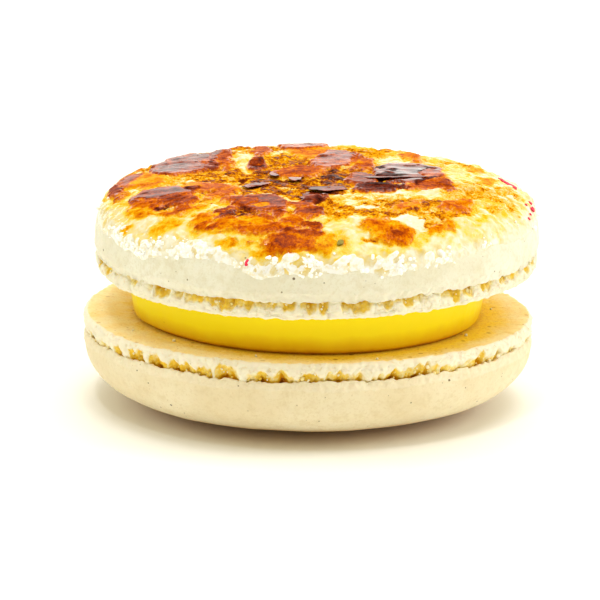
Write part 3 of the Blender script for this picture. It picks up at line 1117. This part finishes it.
raw = place.noise(0.5, 3.0, 0.6).step(0.36, 0.56).mix(display(245, 236, 204), display(255, 254, 248))
colour = sugar.step(0.1, 0.5).mix(colour, raw)
relief = ((0.012 + 0.04 * grit + 0.05 * sugar) * speckle
          + (0.01 + 0.04 * grit) * place.noise(0.5, 3.0, 0.55) + 0.1 * clear * ripple)
finish_surface(
    place, relief, Base_Color=colour, Roughness=0.5, Specular_IOR_Level=0.0,
    Coat_Weight=gloss, Coat_Roughness=0.05, Coat_IOR=1.4,
)
points, triangles = sugar_crust()
make_piece(
    "sugar_crust", top.settle(points[:, :3]), triangles, caramel, "caramel_top", "top_shell",
    burn=points[:, 3], gloss=points[:, 4], sugar=points[:, 5], grit=points[:, 6],
)


# Sheets of burnt sugar. Where the flame stayed, the caramel blistered and set in thin glossy sheets
# that lie on the crust, their front edges curled up a little. They are laid out as the pools are.
SHEETS = [
    (-5.8, -2.9, 2.4, 0.8, 56, 0.84, 0.6), (-4.0, 1.0, 1.9, 0.7, 86, 0.82, 0.6),
    (-1.9, -0.6, 1.7, 0.8, 88, 0.8, 0.8), (-0.6, -8.9, 1.0, 0.7, -56, 0.84, 0.5),
    (-0.4, -7.4, 1.8, 0.9, 84, 0.86, 0.4), (1.6, -4.9, 1.9, 1.6, 40, 0.86, 0.4),
    (8.3, -0.4, 3.4, 0.8, 8, 0.86, 0.5),
]


def curled_sheet(patch, number, lift, thickness, curl):
    """A thin disc stretched to a patch, lying on the crust's mean thickness under it and following
    the dome, at a lift that grows by curl towards its front edge. Noise tears its rim, another part of
    it for each number, and a small disc reads it on a larger rim so that it is torn as finely. Points
    carry the crust's marks."""
    centre_x, centre_y, length, width, degrees, heat, gloss = patch
    angle = around(96)
    away = np.concatenate([[0.4, 0.8, 0.98, 1.0], np.linspace(0.97, 0.05, 16)])[:, None]
    above = np.concatenate([[0.0, 0.0, 0.0, 0.5], np.ones(16)])[:, None]
    rim = turned(max(1, 0.9 / length), 0, angle) * [length, width, 0] + [0, 0, 9 * number]
    torn = 1 + 0.3 * grain(rim, 1.2, 500) + 0.2 * grain(rim, 0.5, 501) + 0.07 * grain(rim, 0.22, 502)
    along, aside = away * torn * length * np.cos(angle), away * torn * width * np.sin(angle)
    turn = np.radians(degrees)
    x = centre_x + along * np.cos(turn) - aside * np.sin(turn)
    y = centre_y + along * np.sin(turn) + aside * np.cos(turn)
    flat = np.stack([x, y, 0 * x], axis=-1)
    front = (centre_y - y) / max(length * abs(np.sin(turn)), width * abs(np.cos(turn)))
    folds = flat * [0.45, 1.5, 1] + 0.6 * grain(flat, 3.0, 438)[..., None]
    bed = crust_fields(flat, np.arctan2(y, x), BORDER_ARC - np.hypot(x, y))[0].mean()
    raised = (bed + lift + curl * np.clip(front, -1.2, 1.4) + 0.055 * grain(folds, 1.5, 436)
              + 0.03 * grain(flat, 2.2, 503) + thickness * above)
    place = on_dome(np.arctan2(y, x), np.hypot(x, y), raised)
    burn = heat - 0.06 + 0.12 * grain(flat, 1.1, 504) + 0.12 * ease(0.95, 1.0, away) * (front > 0.2)
    marks = np.stack([np.clip(burn, 0, 1), gloss * above + 0 * x, 0 * x, 0 * x], axis=-1)
    return ring_stack([np.concatenate([place, marks], axis=-1)])


def joined(parts):
    """Several (points, triangles) as one."""
    starts = np.cumsum([0] + [len(points) for points, _ in parts[:-1]])
    return (np.concatenate([points for points, _ in parts]),
            np.concatenate([triangles + start for (_, triangles), start in zip(parts, starts)]))


points, triangles = joined([
    curled_sheet(patch, number, lift=0.02, thickness=0.06, curl=0.1) for number, patch in enumerate(SHEETS)
])
make_piece(
    "burnt_sheets", top.settle(points[:, :3]), triangles, caramel, "caramel_top", "top_shell",
    burn=points[:, 3], gloss=points[:, 4], sugar=points[:, 5], grit=points[:, 6],
)


# Grains of sugar. Coarse white crystals that never melted, in heaps along the edge of the crust.
GRAIN_TRIES = 5200
chance = np.random.default_rng(600)
angle = chance.uniform(0, 2 * np.pi, GRAIN_TRIES)
inside = 0.1 + 2.0 * chance.uniform(0, 1, GRAIN_TRIES)
sizes = 0.06 + 0.14 * chance.uniform(0, 1, GRAIN_TRIES) ** 1.5
clump = ease(-0.1, 0.4, grain(turned(BORDER_CIRCLE, inside, angle), 0.9, 605))
kept = chance.uniform(0, 1, GRAIN_TRIES) < ease(0.25, 1.0, sugar_heaps(angle)) * clump + 0.02
angle, inside, sizes = angle[kept], inside[kept], sizes[kept]
centres = on_dome(angle, sugar_border(angle) - inside, 0.3 - 0.4 * sizes)
points, triangles = bits(top.settle(centres), sizes, 610)
raw_sugar, place = new_finish("raw_sugar")
finish_surface(
    place, Base_Color=display(255, 254, 246), Roughness=0.3, Specular_IOR_Level=0.5,
    Emission_Color=(1.0, 0.98, 0.92, 1), Emission_Strength=0.08,
)
make_piece("sugar_grains", points, triangles, raw_sugar, "caramel_top", "top_shell", smooth=False)


# Berry flecks. A few torn bits of freeze-dried raspberry on the crust's right edge and in front.
FLECKS = [  # x, y, half length, half width, turn in degrees
    (19.7, 2.9, 1.6, 0.26, -62), (20.2, 2.2, 0.7, 0.4, -62), (22.2, -3.0, 0.3, 0.25, 60),
    (21.9, -1.6, 0.22, 0.2, 60), (22.3, -2.2, 0.15, 0.15, 0), (21.9, -4.8, 0.15, 0.12, 0),
    (21.8, -6.0, 0.2, 0.12, 20), (21.3, -3.4, 0.15, 0.14, 0), (-6.4, -22.3, 0.3, 0.2, 60),
]
NO_CARAMEL = (0, 0)  # heat and gloss of a bit that isn't sugar
points, triangles = joined([
    curled_sheet(fleck + NO_CARAMEL, number + 40, lift=0.04, thickness=0.12, curl=0.0)
    for number, fleck in enumerate(FLECKS)
])
berry, place = new_finish("dried_berry")
finish_surface(
    place, 0.03 * place.noise(0.2, 3.0),
    Base_Color=place.noise(0.3, 2.0).mix(display(232, 20, 60), display(246, 60, 96)),
    Roughness=0.6, Specular_IOR_Level=0.3,
)
make_piece("berry_flecks", top.settle(points[:, :3]), triangles, berry, "caramel_top", "top_shell")


# Pistachio crumb. One olive bit of chopped nut on the crust, in front.
PISTACHIO = (2.5, -20.9, 0.42, 0.26, 60)
points, triangles = curled_sheet(PISTACHIO + NO_CARAMEL, 61, lift=0.04, thickness=0.14, curl=0.0)
pistachio, place = new_finish("pistachio")
finish_surface(
    place, 0.03 * place.noise(0.2, 3.0),
    Base_Color=place.noise(0.25, 2.0).mix(display(84, 74, 0), display(172, 156, 20)), Roughness=0.6,
)
make_piece("pistachio_crumb", top.settle(points[:, :3]), triangles, pistachio, "caramel_top", "top_shell")
